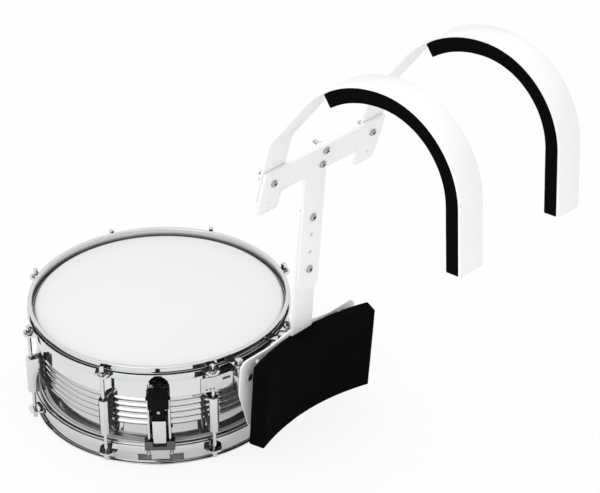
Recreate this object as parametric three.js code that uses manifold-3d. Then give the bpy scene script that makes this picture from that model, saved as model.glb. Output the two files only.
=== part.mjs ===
// Marching snare drum with its shoulder carrier.
// Millimetres. +X is the player's right, +Y points from the player to the drum, and +Z is up.
// The drum's axis and the middle of its height are the origin of every size below.
import * as THREE from 'three';
import { mergeVertices } from 'three/addons/utils/BufferGeometryUtils.js';
import Module from 'manifold-3d';

const wasm = await Module();
wasm.setup();

// Fits
const touchGap = 0.3;
const cutOverrun = 2;
const runningGap = 0.5;

// Sides of round pieces
const roundSides = 12;
const shaftSides = 8;
const wireSides = 6;
const hexSides = 6;

// Shell
const shellRadius = 178;
const shellWall = 1.2;
const shellDepth = 140;
const shellRise = 2.3;
const edgeSlope = 3;
const edgeRollWidth = 10;
const edgeRollDrop = 1.5;
const beadCount = 5;
const beadPitch = 9.7;
const beadHeight = 2;
const beadWidth = 7;
const drumFacets = 36;

// Hoops
const rimMargin = 12.35;
const hoopClearance = 4;
const hoopSheet = 2;
const lipWidth = 6;
const flangeWidth = 7;
const topWallHeight = 11.95;
const topSkirtHeight = 10.05;
const bottomWallHeight = 19.85;
const bottomSkirtHeight = 11.8;
const gateWidth = 64;
const gateHeight = 10.5;
const gateLift = 3.05;
const earSheet = 3;
const earReach = 16;
const earRootWidth = 26;
const earTipWidth = 16;
const earRootShare = 0.8;

// Heads
const filmThickness = 0.6;
const fleshWidth = 5.9;
const batterFleshHeight = 7.2;
const snareFleshHeight = 11.7;
const fleshWeb = 1;

// Lugs and tension rods
const lugCount = 8;
const lugWidth = 14;
const lugHeight = 57;
const lugDepth = 23.7;
const lugChamferWidth = 4;
const lugChamferDepth = 5;
const rodStandoff = 8;
const rodRadius = 2.7;
const rodEngagement = 15;
const rodHoleGap = 0.4;
const rodHoleSpare = 2;
const rodWasherRadius = 6.5;
const rodWasherHeight = 1;
const rodCollarRadius = 5.5;
const rodCollarHeight = 1.4;
const rodHeadWidth = 6;
const rodHeadHeight = 8.3;

// Strainer and butt
const strainerAngle = -44.5;
const basePlateSheet = 2.4;
const railSpread = 32;
const railThickness = 3;
const railDepth = 19.2;
const baseDropShare = 0.2264;
const baseHeightShare = 0.555;
const slideWidth = 18.6;
const slideTopDrop = 10.5;
const slideSpineDepth = 4;
const slideSpineWidth = 10;
const nutRise = 6;
const nutHeight = 5;
const nutWidth = 12;
const clampWidth = 42;
const clampHeight = 14.6;
const clampClearance = 1.2;
const clampDepth = 11.8;
const clampNotchHeight = 8.6;
const clampScrewSpread = 32;
const clampScrewRadius = 2.5;
const clampScrewHeight = 4;
const knobClearance = 0.7;
const knobNeckRadius = 2.2;
const knobNeckHeight = 6;
const knobFlareHeight = 2;
const knobRadius = 7.3;
const knobRimHeight = 2.2;
const leverSheet = 4;
const leverCrownHeight = 15;
const leverTopWidth = 19;
const leverBodyHeight = 20;
const leverShoulderWidth = 34.5;
const leverWaistWidth = 29;
const leverShoulderDrop = 4;
const leverBottomRise = 12;
const tongueWidth = 18;
const tongueDrop = 5.6;
const tongueCorner = 4;
const leverPivotDrop = 35;
const leverPivotInset = 3.5;
const leverBossRadius = 4.5;
const leverPinRadius = 2;
const leverRivetRadius = 2.4;
const leverRivetHeight = 0.8;
const leverRivetRise = 7.7;
const buttRise = 5.5;

// Snare set
const snareWireCount = 20;
const snareWirePitch = 2.5;
const snareWireRadius = 0.7;
const snareSpan = 300;
const snarePlateLength = 15;
const snarePlateWidth = 62;
const snarePlateSheet = 1.6;
const strapWidth = 25;
const strapSheet = 0.5;
const strapInset = 3.3;
const strapBend = 4;
const strapDip = 2;
const strapEngagement = 8;

// Vent
const ventAngle = 88;
const ventHeightShare = 0.3214;
const ventFlangeRadius = 7;
const ventTubeRadius = 4;
const ventBoreRadius = 2.8;
const ventFlangeSheet = 1.2;
const ventTubeLength = 4;

// Drum bracket and hoop claws
const bracketStandoff = 14;
const bracketSheet = 2.5;
const bracketDrop = 3.5;
const bracketHeight = 23;
const bracketStartAngle = -27.8;
const bracketEndAngle = 27;
const bracketFacets = 12;
const bossWidth = 24;
const bossSpread = 76;
const bossBottomDrop = 7.9;
const bossMargin = 6;
const bossClearance = 9;
const clawSpacing = 10;
const clawWidth = 12;
const clawSheet = 4;
const clawScrewStandoff = 18;
const clawTipMargin = 4.5;
const clawScrewRadius = 3;
const clawHeadWidth = 9;
const clawHeadHeight = 8;
const clawWasherRadius = 6.5;
const clawWasherHeight = 1.6;
const clawScrewEndDrop = 3.9;
const bracketHoleRadius = 1.4;
const bracketHoleShare = 0.18;
const bracketHoleAngles = [-25.4, -23.9, -22.6];
const bracketSlotAngle = -17.2;
const bracketSlotShare = 0.7;
const bracketSlotLength = 12;
const bracketSlotWidth = 4;

// Carrier frame
const carrierOffset = 66.5;
const plateGap = 3.5;
const carrierDrop = 6.9;
const carrierLeanAngle = 4.5;

// Mounting plate
const plateSheet = 3;
const plateHalfWidth = 116;
const plateCornerDrop = 8;
const plateTop = 24;
const plateCrown = 32;
const plateCrownHalfWidth = 20;
const plateShoulder = 60;
const plateWaist = -30;
const plateFoot = -98;
const plateFootHalfWidth = 93;
const plateBoltDrop = 12.9;
const plateBoltSpread = 66;
const plateSlotInset = 31.5;
const plateSlotRise = 14;
const plateSlotRadius = 3.5;

// Bolts of the carrier
const boltRadius = 2.7;
const boltHeadRadius = 5.5;
const boltHeadHeight = 3.2;
const nutRadius = 5;
const nutThickness = 4.5;
const boltTip = 8;
const plateBoltReach = 7;

// Belly pad
const bellyRadius = 366;
const bellyThickness = 23;
const bellyHalfWidth = 113;
const bellyBottom = -106;
const bellyTop = 26;
const bellyFacets = 14;
const bellyChannelGap = 0.5;

// Posts
const postWidth = 40;
const lowerPostSheet = 4;
const lowerPostMargin = 11.5;
const lowerPostBottom = -80;
const upperPostSheet = 4.7;
const upperPostMargin = 34.9;
const upperPostCorner = 7;
const upperPostBendRise = 66.4;
const upperPostTailMargin = 6.8;
const upperLeanAngle = 11.3;
const postHolePitch = 28.2;
const postHoleCount = 4;
const postHoleFirst = 133.4;
const postHoleRadius = 3.2;

// Cross-piece
const crossSheet = 5;
const crossHalfWidth = 115;
const crossBottom = 12.6;
const crossHeight = 44.5;
const crossTabWidth = 40;
const crossTabDrop = 28;
const crossTabTaper = 4;
const crossBoltUpperShare = 0.775;
const crossBoltLowerShare = 0.24;
const armBoltInset = 19.5;
const armBoltShare = 0.51;
const tabHoleShare = 0.368;

// Shoulder arms and pads
const armWidth = 42;
const armSheet = 3.5;
const armFoot = 8;
const armRise = 91;
const armBend = 25;
const armBendAngle = 22.7;
const armSlope = 90.9;
const armFrontRadius = 163.6;
const armFrontAngle = 51.5;
const armBackRadius = 120;
const armBackAngle = 86.8;
const armTail = 88;
const padThickness = 19;
const padStartAngle = 12;
const wingHubRadius = 6;
const wingHubHeight = 6;
const wingSpan = 24;
const wingHeight = 9;
const wingSheet = 2;

const finishes = {
  chrome: { color: 0xd9dcdf, roughness: 0.08, metalness: 1 },
  film: { color: 0xf2f2f0, roughness: 0.6, metalness: 0 },
  steelWire: { color: 0xb9bcc0, roughness: 0.3, metalness: 1 },
  blackPlastic: { color: 0x0c0c0d, roughness: 0.35, metalness: 0 },
  whiteCoat: { color: 0xeeeeee, roughness: 0.4, metalness: 0 },
  blackFoam: { color: 0x08080a, roughness: 0.9, metalness: 0 },
  zinc: { color: 0xa9abad, roughness: 0.35, metalness: 1 },
};

const radians = THREE.MathUtils.degToRad;

// Solids and booleans
function solidOf(geometry) {
  const bare = geometry.clone();
  bare.deleteAttribute('normal');
  bare.deleteAttribute('uv');
  const merged = mergeVertices(bare);
  const corners = merged.index.array;
  const kept = [];
  for (let i = 0; i < corners.length; i += 3) {
    const [a, b, c] = [corners[i], corners[i + 1], corners[i + 2]];
    if (a !== b && b !== c && c !== a) kept.push(a, b, c);
  }
  const mesh = new wasm.Mesh({
    numProp: 3,
    vertProperties: new Float32Array(merged.attributes.position.array),
    triVerts: new Uint32Array(kept),
  });
  return new wasm.Manifold(mesh);
}

function geometryOf(solid) {
  const mesh = solid.getMesh();
  const geometry = new THREE.BufferGeometry();
  geometry.setAttribute('position', new THREE.BufferAttribute(new Float32Array(mesh.vertProperties), 3));
  geometry.setIndex(new THREE.BufferAttribute(new Uint32Array(mesh.triVerts), 1));
  const flat = geometry.toNonIndexed();
  flat.computeVertexNormals();
  return flat;
}

function join(...pieces) {
  return geometryOf(pieces.map(solidOf).reduce((whole, piece) => whole.add(piece)));
}

function cut(body, ...tools) {
  return geometryOf(tools.map(solidOf).reduce((rest, tool) => rest.subtract(tool), solidOf(body)));
}

// Basic shapes
function turned(profile, facets = drumFacets) {
  const points = profile.map(([r, z]) => new THREE.Vector2(r, z));
  if (THREE.ShapeUtils.area(points) < 0) points.reverse();
  const onAxis = profile[0][0] === 0;
  if (!onAxis) points.push(points[0].clone());
  return new THREE.LatheGeometry(points, facets).rotateX(Math.PI / 2);
}

function sheet(outline, thickness) {
  const shape = new THREE.Shape(outline.map(([x, y]) => new THREE.Vector2(x, y)));
  return new THREE.ExtrudeGeometry(shape, { depth: thickness, bevelEnabled: false });
}

// A sheet that stands in the XZ plane and runs from y = back to y = back - thickness.
function upright(outline, thickness, back = 0) {
  return sheet(outline, thickness).rotateX(Math.PI / 2).translate(0, back, 0);
}

// A side view in the YZ plane, given its width along X about the middle.
function sideways(outline, width) {
  const toSide = new THREE.Matrix4().makeBasis(
    new THREE.Vector3(0, 1, 0),
    new THREE.Vector3(0, 0, 1),
    new THREE.Vector3(1, 0, 0),
  );
  return sheet(outline, width).applyMatrix4(toSide).translate(-width / 2, 0, 0);
}

function block([x0, x1], [y0, y1], [z0, z1]) {
  return new THREE.BoxGeometry(x1 - x0, y1 - y0, z1 - z0)
    .translate((x0 + x1) / 2, (y0 + y1) / 2, (z0 + z1) / 2);
}

// A block at a station of the drum: its radii are measured outward, along -Y.
function stationBlock(width, [inner, outer], [bottom, top], x = 0) {
  return block([x - width / 2, x + width / 2], [-outer, -inner], [bottom, top]);
}

function uprightRod(radius, [bottom, top], sides = roundSides) {
  return new THREE.CylinderGeometry(radius, radius, top - bottom, sides)
    .rotateX(Math.PI / 2)
    .translate(0, 0, (bottom + top) / 2);
}

// A rod along Y between two places.
function levelRod(radius, [near, far], sides = roundSides) {
  return new THREE.CylinderGeometry(radius, radius, far - near, sides).translate(0, (near + far) / 2, 0);
}

// A rod along X, centred.
function crossRod(radius, length, sides = roundSides) {
  return new THREE.CylinderGeometry(radius, radius, length, sides).rotateZ(Math.PI / 2);
}

// A path in a side view. Its heading is measured from +Z towards -Y, and it turns the same way.
function trail([y, z], moves, arcStep = radians(7)) {
  const points = [];
  let at = new THREE.Vector2(y, z);
  let heading = 0;
  const note = () => points.push({ at: at.clone(), heading });
  note();
  for (const move of moves) {
    if (move.ahead) {
      at.add(new THREE.Vector2(-Math.sin(heading), Math.cos(heading)).multiplyScalar(move.ahead));
      note();
      continue;
    }
    const turn = radians(move.turn);
    const steps = Math.max(1, Math.round(Math.abs(turn) / arcStep));
    const side = Math.sign(turn);
    const centre = at.clone().add(
      new THREE.Vector2(-Math.cos(heading), -Math.sin(heading)).multiplyScalar(side * move.radius),
    );
    const start = heading;
    for (let i = 1; i <= steps; i += 1) {
      heading = start + turn * i / steps;
      at = centre.clone().add(
        new THREE.Vector2(Math.cos(heading), Math.sin(heading)).multiplyScalar(side * move.radius),
      );
      note();
    }
  }
  return points;
}

// The outline of a band that lies between two depths on the inner side of a path.
function band(path, nearDepth, farDepth) {
  const shifted = (depth) => path.map(({ at, heading }) => [
    at.x - Math.cos(heading) * depth,
    at.y - Math.sin(heading) * depth,
  ]);
  return [...shifted(nearDepth), ...shifted(farDepth).reverse()];
}

// Scene graph
const model = new THREE.Group();
const drum = new THREE.Group();
model.add(drum);

function addPiece(parent, name, geometry, finish) {
  const mesh = new THREE.Mesh(geometry, new THREE.MeshStandardMaterial(finishes[finish]));
  mesh.name = name;
  parent.add(mesh);
  return mesh;
}

// A group turned to a place on the drum's rim, with its -Y pointing outward.
function station(angle) {
  const group = new THREE.Group();
  group.rotation.z = radians(angle);
  drum.add(group);
  return group;
}

const lugPitch = 360 / lugCount;
const lugAngles = Array.from({ length: lugCount }, (_, i) => strainerAngle + lugPitch * (i + 1 / 2));
const hoopRadius = shellRadius + hoopClearance;
const flangeRadius = hoopRadius + flangeWidth;
const rodCircle = flangeRadius + rodStandoff;
const rimRise = shellDepth / 2 + rimMargin;
const topFlange = rimRise - topWallHeight;
const bottomFlange = rimRise - bottomWallHeight;
const batterEdge = shellDepth / 2 + shellRise;
const snareEdge = shellDepth / 2 - shellRise;
const fittingBack = shellRadius + beadHeight + touchGap;

// Shell
function shellGeometry() {
  const half = shellDepth / 2;
  const endProfile = [
    [shellRadius, half - edgeSlope],
    [shellRadius - edgeSlope, half],
    [shellRadius - edgeRollWidth, half - edgeRollDrop],
    [shellRadius - edgeRollWidth, half - edgeRollDrop - shellWall],
    [shellRadius - edgeSlope - shellWall / 2, half - shellWall],
    [shellRadius - shellWall, half - edgeSlope - shellWall / 2],
  ];
  const beads = [];
  for (let i = 0; i < beadCount; i += 1) {
    const middle = (i - (beadCount - 1) / 2) * beadPitch;
    beads.push([0, middle - beadWidth / 2], [beadHeight, middle], [0, middle + beadWidth / 2]);
  }
  const outer = beads.map(([rise, z]) => [shellRadius + rise, z]);
  const inner = beads.map(([rise, z]) => [shellRadius - shellWall + rise, z]).reverse();
  const lowerEnd = endProfile.map(([r, z]) => [r, -z]).reverse();
  const body = turned([...outer, ...endProfile, ...inner, ...lowerEnd]);
  const ventReach = [-shellRadius - cutOverrun, -shellRadius + edgeRollWidth];
  const ventHole = levelRod(ventTubeRadius + touchGap, ventReach)
    .translate(0, 0, shellDepth * ventHeightShare - shellRise)
    .rotateZ(radians(ventAngle));
  return cut(body, ventHole).translate(0, 0, shellRise);
}
addPiece(drum, 'shell', shellGeometry(), 'chrome');

// Heads. A head's heights are measured outward from the middle of the drum.
function headGeometry(side, edge, flange, fleshHeight) {
  const film = edge + touchGap;
  const nip = touchGap / 3;
  const collar = shellRadius + touchGap;
  const ringOuter = flangeRadius - hoopSheet - touchGap;
  const ringInner = ringOuter - fleshWidth;
  const ringTop = flange - hoopSheet - touchGap;
  const ringBottom = ringTop - fleshHeight;
  const profile = [
    [0, film],
    [shellRadius - edgeSlope + nip, film],
    [collar, edge - edgeSlope + nip],
    [collar, ringBottom],
    [ringOuter, ringBottom],
    [ringOuter, ringTop],
    [ringInner, ringTop],
    [ringInner, ringBottom + fleshWeb],
    [collar + filmThickness, ringBottom + fleshWeb],
    [collar + filmThickness, edge - edgeSlope + nip + filmThickness / 2],
    [shellRadius - edgeSlope + nip + filmThickness / 2, film + filmThickness],
    [0, film + filmThickness],
  ];
  return turned(profile.map(([r, z]) => [r, side * z]));
}
addPiece(drum, 'batter_head', headGeometry(1, batterEdge, topFlange, batterFleshHeight), 'film');
addPiece(drum, 'snare_head', headGeometry(-1, snareEdge, bottomFlange, snareFleshHeight), 'film');

// Hoops
function hoopGeometry(side, wallHeight, skirtHeight) {
  const flange = rimRise - wallHeight;
  const profile = [
    [hoopRadius, rimRise],
    [hoopRadius + lipWidth, rimRise],
    [hoopRadius + lipWidth, rimRise - hoopSheet],
    [hoopRadius + hoopSheet, rimRise - hoopSheet],
    [hoopRadius + hoopSheet, flange],
    [flangeRadius, flange],
    [flangeRadius, flange - skirtHeight],
    [flangeRadius - hoopSheet, flange - skirtHeight],
    [flangeRadius - hoopSheet, flange - hoopSheet],
    [hoopRadius, flange - hoopSheet],
  ];
  const ring = turned(profile.map(([r, z]) => [r, side * z]));
  const root = flangeRadius - hoopSheet * earRootShare;
  const tip = flangeRadius + earReach;
  const earOutline = [
    [-earRootWidth / 2, -root],
    [-earRootWidth / 2, -flangeRadius],
    [-earTipWidth / 2, -tip],
    [earTipWidth / 2, -tip],
    [earRootWidth / 2, -flangeRadius],
    [earRootWidth / 2, -root],
  ];
  const earBottom = side > 0 ? flange - earSheet : -flange;
  const holeRadius = rodRadius + rodHoleGap;
  const pieces = [];
  const holes = [];
  for (const angle of lugAngles) {
    pieces.push(sheet(earOutline, earSheet).translate(0, 0, earBottom).rotateZ(radians(angle)));
    holes.push(uprightRod(holeRadius, [earBottom - cutOverrun, earBottom + earSheet + cutOverrun])
      .translate(0, -rodCircle, 0)
      .rotateZ(radians(angle)));
  }
  return cut(join(ring, ...pieces), ...holes);
}

function snareGate(angle) {
  const bottom = -rimRise + hoopSheet + gateLift;
  const reach = [hoopRadius - lipWidth, flangeRadius + cutOverrun];
  return stationBlock(gateWidth, reach, [bottom, bottom + gateHeight]).rotateZ(radians(angle));
}
addPiece(drum, 'top_hoop', hoopGeometry(1, topWallHeight, topSkirtHeight), 'chrome');
const bottomHoop = hoopGeometry(-1, bottomWallHeight, bottomSkirtHeight);
addPiece(
  drum,
  'bottom_hoop',
  cut(bottomHoop, snareGate(strainerAngle), snareGate(strainerAngle + 180)),
  'chrome',
);

// Lugs
function lugGeometry() {
  const half = lugWidth / 2;
  const front = fittingBack + lugDepth;
  const outline = [
    [-half, -fittingBack],
    [-half, -front + lugChamferDepth],
    [-half + lugChamferWidth, -front],
    [half - lugChamferWidth, -front],
    [half, -front + lugChamferDepth],
    [half, -fittingBack],
  ];
  const body = sheet(outline, lugHeight).translate(0, 0, -lugHeight / 2);
  const end = lugHeight / 2;
  const holeEnd = end - rodEngagement - rodHoleSpare;
  const holes = [[holeEnd, end + cutOverrun], [-end - cutOverrun, -holeEnd]].map((reach) => uprightRod(
    rodRadius + rodHoleGap,
    reach,
    shaftSides,
  ).translate(0, -rodCircle, 0));
  return cut(body, ...holes);
}

// Tension rod with its washer. It stands on the ear at z = 0 with its shaft below.
function rodGeometry(earFace) {
  const shaftEnd = -(earFace + touchGap - lugHeight / 2 + rodEngagement);
  const collarBottom = rodWasherHeight;
  const headBottom = collarBottom + rodCollarHeight;
  return join(
    uprightRod(rodRadius, [shaftEnd, collarBottom], shaftSides),
    uprightRod(rodWasherRadius, [0, rodWasherHeight]),
    uprightRod(rodCollarRadius, [rodWasherHeight / 2, headBottom], shaftSides),
    block(
      [-rodHeadWidth / 2, rodHeadWidth / 2],
      [-rodHeadWidth / 2, rodHeadWidth / 2],
      [collarBottom, headBottom + rodHeadHeight],
    ),
  );
}

lugAngles.forEach((angle, i) => {
  const place = station(angle);
  addPiece(place, `lug_${i + 1}`, lugGeometry(), 'chrome');
  const topRod = addPiece(place, `top_rod_${i + 1}`, rodGeometry(topFlange), 'chrome');
  topRod.position.set(0, -rodCircle, topFlange + touchGap);
  const bottomRod = addPiece(place, `bottom_rod_${i + 1}`, rodGeometry(bottomFlange), 'chrome');
  bottomRod.position.set(0, -rodCircle, -bottomFlange - touchGap);
  bottomRod.rotation.x = Math.PI;
});

// Strainer. Its pieces are drawn at a station, outward along -Y.
const slideBack = fittingBack + basePlateSheet + touchGap;
const railFrontRadius = fittingBack + railDepth;
const slideFrontRadius = railFrontRadius - runningGap;
const baseBottom = -shellDepth * baseDropShare;
const baseTop = baseBottom + shellDepth * baseHeightShare;
const leverPivotRadius = railFrontRadius - leverPivotInset;
const leverPivotHeight = baseTop - leverPivotDrop;
const slideTop = leverPivotHeight - slideTopDrop;
const slideBottom = baseBottom;
const nutTop = baseTop + nutRise;
const clampBackRadius = flangeRadius + clampClearance;
const clampFrontRadius = clampBackRadius + clampDepth;
const strapRadius = clampBackRadius + strapInset;
const clampTop = slideBottom - touchGap;
const clampBottom = clampTop - clampHeight;
const leverBack = railFrontRadius + runningGap;

function strainerBaseGeometry(top) {
  const railInner = railSpread / 2 - railThickness;
  const railMiddle = railSpread / 2 - railThickness / 2;
  const plate = stationBlock(railSpread, [fittingBack, fittingBack + basePlateSheet], [baseBottom, top]);
  const rails = [-railMiddle, railMiddle].map((x) => stationBlock(
    railThickness,
    [fittingBack, railFrontRadius],
    [baseBottom, top],
    x,
  ));
  const pinHole = crossRod(leverPinRadius + touchGap, 2 * (railInner + railThickness + cutOverrun))
    .translate(0, -leverPivotRadius, leverPivotHeight);
  return { plate, rails, pinHole };
}

const strainer = station(strainerAngle);
const strainerBase = strainerBaseGeometry(baseTop);
addPiece(
  strainer,
  'strainer_base',
  cut(join(strainerBase.plate, ...strainerBase.rails), strainerBase.pinHole),
  'chrome',
);

const notchBack = strapRadius + touchGap + runningGap;
const notchBottom = clampTop - clampNotchHeight;

// The block that carries the strap clamp: in the strainer it slides, and on the butt it is fixed.
function carrierBlock() {
  return join(
    stationBlock(slideWidth, [slideBack, slideFrontRadius], [slideBottom, slideTop]),
    stationBlock(slideWidth, [notchBack + touchGap, slideFrontRadius], [notchBottom + touchGap, slideTop]),
  );
}

function slideGeometry() {
  return join(
    carrierBlock(),
    stationBlock(slideSpineWidth, [slideBack, slideBack + slideSpineDepth], [slideBottom, nutTop]),
    stationBlock(nutWidth, [slideBack, railFrontRadius], [nutTop - nutHeight, nutTop]),
  );
}
addPiece(strainer, 'strainer_slide', slideGeometry(), 'chrome');

function clampGeometry() {
  const body = stationBlock(clampWidth, [clampBackRadius, clampFrontRadius], [clampBottom, clampTop]);
  const notch = stationBlock(
    slideWidth + 2 * touchGap,
    [notchBack, clampFrontRadius + cutOverrun],
    [notchBottom, clampTop + cutOverrun],
  );
  const slot = stationBlock(
    strapWidth + 2 * runningGap,
    [strapRadius - strapSheet - touchGap, strapRadius + touchGap],
    [clampBottom - cutOverrun, clampTop + cutOverrun],
  );
  const middle = (clampBackRadius + clampFrontRadius) / 2;
  const screws = [-clampScrewSpread / 2, clampScrewSpread / 2].map((x) => uprightRod(
    clampScrewRadius,
    [clampBottom - clampScrewHeight, clampBottom + touchGap],
  ).translate(x, -middle, 0));
  return join(cut(body, notch, slot), ...screws);
}
addPiece(strainer, 'strainer_clamp', clampGeometry(), 'chrome');

function knobGeometry() {
  const neckBottom = nutTop + touchGap;
  const neckTop = neckBottom + knobNeckHeight;
  const rimBottom = neckTop + knobFlareHeight;
  const rimTop = rimBottom + knobRimHeight;
  return turned([
    [0, neckBottom],
    [knobNeckRadius, neckBottom],
    [knobNeckRadius, neckTop],
    [knobRadius, rimBottom],
    [knobRadius, rimTop],
    [0, rimTop],
  ], roundSides);
}
const knob = addPiece(strainer, 'strainer_knob', knobGeometry(), 'blackPlastic');
knob.position.y = -(flangeRadius + knobRadius + knobClearance);

function leverGeometry() {
  const [top, shoulder, waist, tongue] = [leverTopWidth, leverShoulderWidth, leverWaistWidth, tongueWidth]
    .map((width) => width / 2);
  const bottomEnd = leverPivotHeight - tongueDrop;
  const leverBottom = leverPivotHeight + leverBottomRise;
  const shoulderHeight = leverBottom + leverBodyHeight;
  const right = [
    [tongue - tongueCorner, bottomEnd],
    [tongue, bottomEnd + tongueCorner],
    [tongue, leverBottom],
    [waist, leverBottom],
    [waist, shoulderHeight - leverShoulderDrop],
    [shoulder, shoulderHeight - leverShoulderDrop],
    [shoulder, shoulderHeight],
    [top, shoulderHeight + leverCrownHeight],
  ];
  const left = right.map(([x, z]) => [-x, z]).reverse();
  const plate = upright([...right, ...left], leverSheet, -leverBack);
  const boss = crossRod(leverBossRadius, tongueWidth).translate(0, -leverPivotRadius, leverPivotHeight);
  const pin = crossRod(leverPinRadius, railSpread + runningGap)
    .translate(0, -leverPivotRadius, leverPivotHeight);
  const front = -leverBack - leverSheet;
  const rivet = levelRod(leverRivetRadius, [front - leverRivetHeight, front + leverSheet / 2])
    .translate(0, 0, leverPivotHeight + leverRivetRise);
  return join(plate, boss, pin, rivet);
}
addPiece(strainer, 'strainer_lever', leverGeometry(), 'blackPlastic');

// Butt
const butt = station(strainerAngle + 180);
const buttBase = strainerBaseGeometry(slideTop + buttRise);
const buttSeat = stationBlock(slideWidth, [fittingBack, slideBack + touchGap], [slideBottom, slideTop]);
addPiece(butt, 'butt_plate', join(buttBase.plate, carrierBlock(), buttSeat), 'chrome');
addPiece(butt, 'butt_clamp', clampGeometry(), 'chrome');

// Snare set: wires, two end plates and two straps that run out through the gates and up to the clamps
function snareSetGeometry() {
  const filmFace = -(snareEdge + touchGap + filmThickness);
  const plateTopFace = filmFace - touchGap;
  const wireHeight = plateTopFace - snareWireRadius;
  const plateMiddle = plateTopFace - snarePlateSheet / 2;
  const pieces = [];
  for (let i = 0; i < snareWireCount; i += 1) {
    const x = (i - (snareWireCount - 1) / 2) * snareWirePitch;
    const wire = levelRod(snareWireRadius, [-snareSpan / 2, snareSpan / 2], wireSides);
    pieces.push(wire.translate(x, 0, wireHeight));
  }
  const plateFar = snareSpan / 2 + snarePlateLength / 2;
  const plateNear = snareSpan / 2 - snarePlateLength / 2;
  const strapFloor = plateMiddle - strapDip;
  const strapTop = clampBottom + strapEngagement;
  const strapOutline = [
    [-strapRadius, strapTop],
    [-strapRadius, strapFloor + strapBend],
    [-strapRadius + strapBend, strapFloor],
    [-plateNear, plateMiddle - strapSheet / 2],
    [-plateNear, plateMiddle + strapSheet / 2],
    [-strapRadius + strapBend, strapFloor + strapSheet],
    [-strapRadius + strapSheet, strapFloor + strapBend],
    [-strapRadius + strapSheet, strapTop],
  ];
  for (const side of [0, Math.PI]) {
    const plate = block(
      [-snarePlateWidth / 2, snarePlateWidth / 2],
      [-plateFar, -plateNear],
      [plateTopFace - snarePlateSheet, plateTopFace],
    );
    pieces.push(plate.rotateZ(side), sideways(strapOutline, strapWidth).rotateZ(side));
  }
  return join(...pieces);
}
addPiece(strainer, 'snare_set', snareSetGeometry(), 'steelWire');

// Vent grommet
function ventGeometry() {
  const flangeBack = -shellRadius - touchGap;
  const flangeFront = flangeBack - ventFlangeSheet;
  const body = join(
    levelRod(ventFlangeRadius, [flangeFront, flangeBack]),
    levelRod(ventTubeRadius, [flangeBack - ventFlangeSheet / 2, flangeBack + ventTubeLength]),
  );
  const boreReach = [flangeFront - cutOverrun, flangeBack + ventTubeLength + cutOverrun];
  return cut(body, levelRod(ventBoreRadius, boreReach)).translate(0, 0, shellDepth * ventHeightShare);
}
addPiece(station(ventAngle), 'vent_grommet', ventGeometry(), 'chrome');

// Drum bracket
const bracketRadius = flangeRadius + bracketStandoff;
const clawScrewX = plateBoltSpread / 2 + clawSpacing;
const bracketTop = topFlange - bracketDrop;
const bracketBottom = bracketTop - bracketHeight;
const bossBottom = bracketBottom - bossBottomDrop;
const clawScrewCircle = flangeRadius + clawScrewStandoff;
const clawAngle = THREE.MathUtils.radToDeg(Math.asin(clawScrewX / clawScrewCircle));
const plateStandoff = bracketRadius + bracketSheet + plateGap;
const carrierDatum = bracketTop - carrierDrop;
const plateBoltRise = bracketTop - plateBoltDrop;
const bossTop = plateBoltRise + bossMargin;
const leanSlope = Math.tan(radians(carrierLeanAngle));
const plateFaceAt = (z) => -plateStandoff - (z - carrierDatum) * leanSlope;

function onRim(angle, radius) {
  return [radius * Math.sin(radians(angle)), -radius * Math.cos(radians(angle))];
}

function bracketGeometry() {
  const outer = [];
  const inner = [];
  for (let i = 0; i <= bracketFacets; i += 1) {
    const angle = bracketStartAngle + (bracketEndAngle - bracketStartAngle) * i / bracketFacets;
    outer.push(onRim(angle, bracketRadius + bracketSheet));
    inner.unshift(onRim(angle, bracketRadius));
  }
  const web = sheet([...outer, ...inner], bracketTop - bracketBottom).translate(0, 0, bracketBottom);
  const bossBack = flangeRadius + bossClearance;
  const bossOutline = [
    [-bossBack, bossBottom],
    [plateFaceAt(bossBottom) + touchGap, bossBottom],
    [plateFaceAt(bossTop) + touchGap, bossTop],
    [-bossBack, bossTop],
  ];
  const holeHeight = bracketBottom + bracketHeight * bracketHoleShare;
  const slotHeight = bracketBottom + bracketHeight * bracketSlotShare;
  const bosses = [];
  const holes = [];
  const screwY = -clawScrewCircle * Math.cos(radians(clawAngle));
  const screwHoleTop = Math.max(bossTop, bracketTop) + cutOverrun;
  for (const side of [-1, 1]) {
    bosses.push(sideways(bossOutline, bossWidth).translate(side * bossSpread / 2, 0, 0));
    holes.push(uprightRod(clawScrewRadius + touchGap, [bossBottom - cutOverrun, screwHoleTop])
      .translate(side * clawScrewX, screwY, 0));
    holes.push(levelRod(boltRadius + touchGap, [-cutOverrun, plateBoltReach + cutOverrun])
      .rotateX(radians(carrierLeanAngle))
      .translate(side * plateBoltSpread / 2, plateFaceAt(plateBoltRise), plateBoltRise));
  }
  for (const angle of bracketHoleAngles) {
    holes.push(levelRod(bracketHoleRadius, [-cutOverrun, bracketSheet + cutOverrun])
      .translate(0, -bracketRadius - bracketSheet, holeHeight)
      .rotateZ(radians(angle)));
  }
  holes.push(stationBlock(
    bracketSlotLength,
    [bracketRadius - cutOverrun, bracketRadius + bracketSheet + cutOverrun],
    [slotHeight - bracketSlotWidth / 2, slotHeight + bracketSlotWidth / 2],
  ).rotateZ(radians(bracketSlotAngle)));
  return cut(join(web, ...bosses), ...holes);
}
addPiece(drum, 'drum_bracket', bracketGeometry(), 'zinc');

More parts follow.
